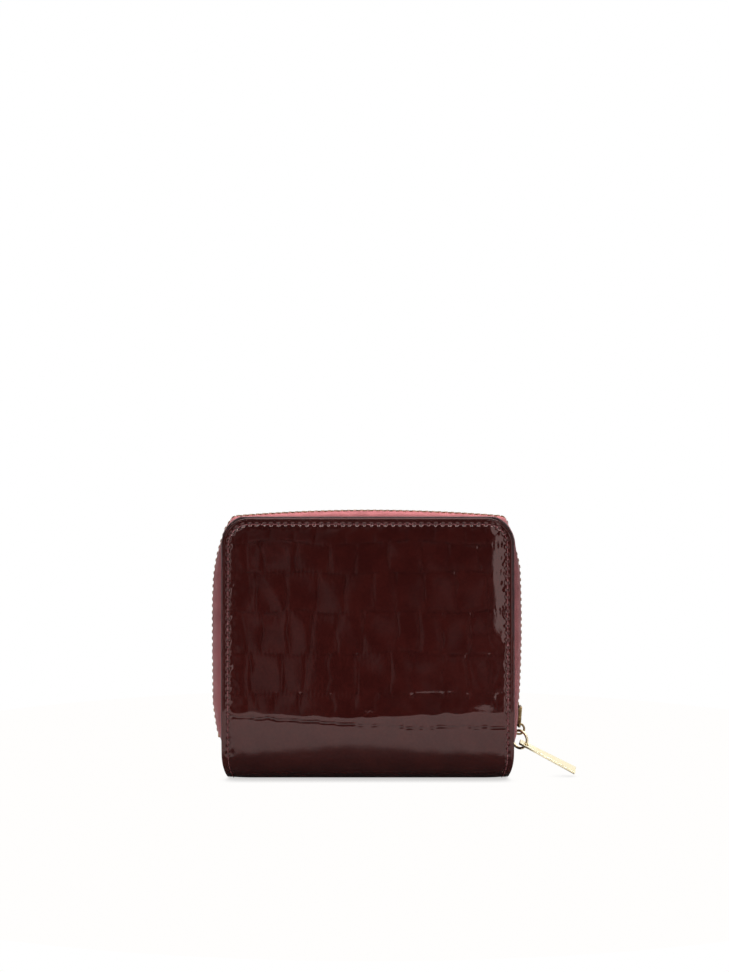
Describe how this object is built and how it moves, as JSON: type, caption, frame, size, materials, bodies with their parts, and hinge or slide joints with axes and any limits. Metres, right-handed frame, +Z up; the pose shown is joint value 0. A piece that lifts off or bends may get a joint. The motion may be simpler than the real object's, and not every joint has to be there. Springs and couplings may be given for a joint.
{
  "type": "zip-around wallet",
  "caption": "Compact zip-around wallet in glossy crocodile-embossed patent leather, standing on its spine, with a ring and tapered bar pull.",
  "frame": {"origin": "middle of the flat foot of the spine, which the closed wallet stands on", "axes": "+X to the right as the front cover faces the viewer, towards the zip pull; -Y out of the front cover; +Z up, from the spine to the zip along the top"},
  "size_m": [0.1395, 0.0314, 0.102],
  "materials": {
    "patent_leather": "glossy lacquered patent leather, oxblood, embossed with large crocodile scales",
    "seam_thread": "waxed burgundy sewing thread",
    "fibre_board": "bare bonded fibre board",
    "lining_cloth": "matte woven lining",
    "lining_leather": "fine-grained semi-matte leather",
    "zip_tape": "herringbone woven tape, dusty wine",
    "antique_brass": "antiqued brass, lightly rubbed",
    "slider_metal": "plated slider, gold with darker recesses",
    "pale_gold": "polished pale gold plate"
  },
  "bodies": {
    "spine": {"spine_leather": "patent_leather", "spine_lining": "lining_cloth", "coin_pocket_front": "lining_leather", "coin_pocket_back": "lining_leather", "coin_pocket_base": "lining_leather", "coin_pocket_left_gusset": "lining_cloth", "coin_pocket_right_gusset": "lining_cloth"},
    "front_half": {"front_cover": "patent_leather", "front_stitching": "seam_thread", "front_stiffener": "fibre_board", "front_lining": "lining_cloth", "front_bill_pocket": "lining_leather", "front_card_slot_1": "lining_leather", "front_card_slot_2": "lining_leather", "front_card_slot_3": "lining_leather", "front_zip_tape": "zip_tape", "front_zip_teeth": "antique_brass", "front_zip_top_stop": "antique_brass"},
    "back_half": {"back_cover": "patent_leather", "back_stitching": "seam_thread", "back_stiffener": "fibre_board", "back_lining": "lining_cloth", "back_bill_pocket": "lining_leather", "back_card_slot_1": "lining_leather", "back_card_slot_2": "lining_leather", "back_card_slot_3": "lining_leather", "back_zip_tape": "zip_tape", "back_zip_teeth": "antique_brass", "back_zip_top_stop": "antique_brass", "zip_bottom_stop": "antique_brass"},
    "zip_slider": {"slider_body": "slider_metal"},
    "pull_ring": {"pull_ring": "pale_gold"},
    "pull_tab": {"pull_tab": "pale_gold"}
  },
  "joints": [
    {"name": "front_fold", "type": "hinge", "parent": "spine", "child": "front_half", "pos_m": [0, -0.01251, 0.00249], "axis": [1, 0, 0], "range_deg": [0, 90], "deforming": ["spine_leather", "spine_lining", "front_zip_teeth", "back_zip_teeth"]},
    {"name": "back_fold", "type": "hinge", "parent": "spine", "child": "back_half", "pos_m": [0, 0.01251, 0.00249], "axis": [-1, 0, 0], "range_deg": [0, 90], "deforming": ["spine_leather", "spine_lining", "front_zip_teeth", "back_zip_teeth"]},
    {"name": "slider_travel", "type": "hinge", "parent": "back_half", "child": "zip_slider", "pos_m": [-0.3924, 0, 0.058], "axis": [0, -1, 0], "range_deg": [0, 7]},
    {"name": "ring_swing", "type": "hinge", "parent": "zip_slider", "child": "pull_ring", "pos_m": [0.05759, 0, 0.01793], "axis": [0, -1, 0], "range_deg": [-4, 85]},
    {"name": "tab_swing", "type": "hinge", "parent": "pull_ring", "child": "pull_tab", "pos_m": [0.06009, -0.00175, 0.01199], "axis": [0.4258, -0.387, 0.8179], "range_deg": [-4, 90]}
  ]
}
